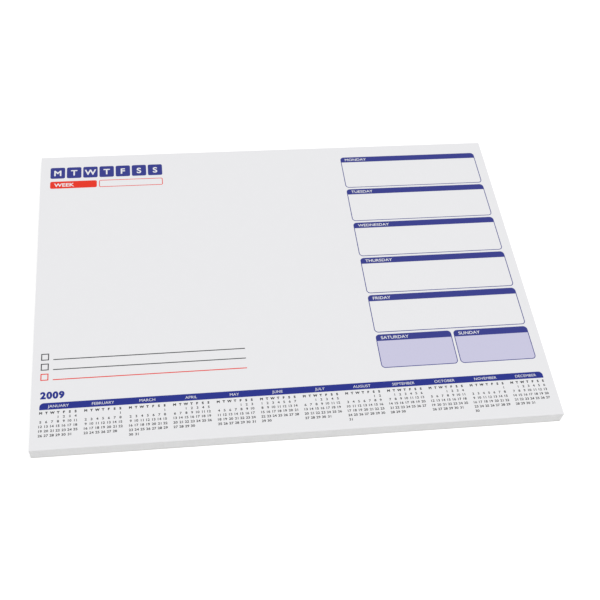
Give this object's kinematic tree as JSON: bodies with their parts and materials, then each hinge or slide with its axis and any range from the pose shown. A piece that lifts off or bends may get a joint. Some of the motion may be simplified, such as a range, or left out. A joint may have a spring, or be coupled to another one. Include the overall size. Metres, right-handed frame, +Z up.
{
  "type": "desk pad",
  "caption": "Large tear-off desk pad: a block of printed sheets glued along its back edge to a stiff board, with day boxes and a calendar strip.",
  "frame": {"origin": "middle of the pad's underside", "axes": "+X to the writer's right along the long side, +Y away from the writer towards the glued edge, +Z up out of the writing face"},
  "size_m": [0.42, 0.2972, 0.0121],
  "materials": {
    "paper": "smooth uncoated white sheets, matt",
    "board": "white-lined grey board, matt",
    "glue": "thin milky padding glue",
    "blue_ink": "offset ink, dull",
    "deep_blue_ink": "offset ink, dull",
    "lilac_ink": "pale offset tint, dull",
    "red_ink": "offset ink, dull",
    "grey_ink": "offset ink, dull"
  },
  "bodies": {
    "root": {"page_block": "paper", "backing_board": "board", "binding_glue": "glue", "monday_box": "blue_ink", "tuesday_box": "blue_ink", "wednesday_box": "blue_ink", "thursday_box": "blue_ink", "friday_box": "blue_ink", "saturday_box": "blue_ink", "saturday_tint": "lilac_ink", "sunday_box": "blue_ink", "sunday_tint": "lilac_ink", "month_band": "deep_blue_ink", "day_tab_1": "blue_ink", "day_tab_2": "blue_ink", "day_tab_3": "blue_ink", "day_tab_4": "blue_ink", "day_tab_5": "blue_ink", "day_tab_6": "blue_ink", "day_tab_7": "blue_ink", "week_label": "red_ink", "week_field": "red_ink", "tick_box_1": "grey_ink", "tick_box_2": "grey_ink", "tick_box_3": "red_ink", "list_rule_1": "grey_ink", "list_rule_2": "grey_ink", "list_rule_3": "red_ink"}
  },
  "joints": []
}
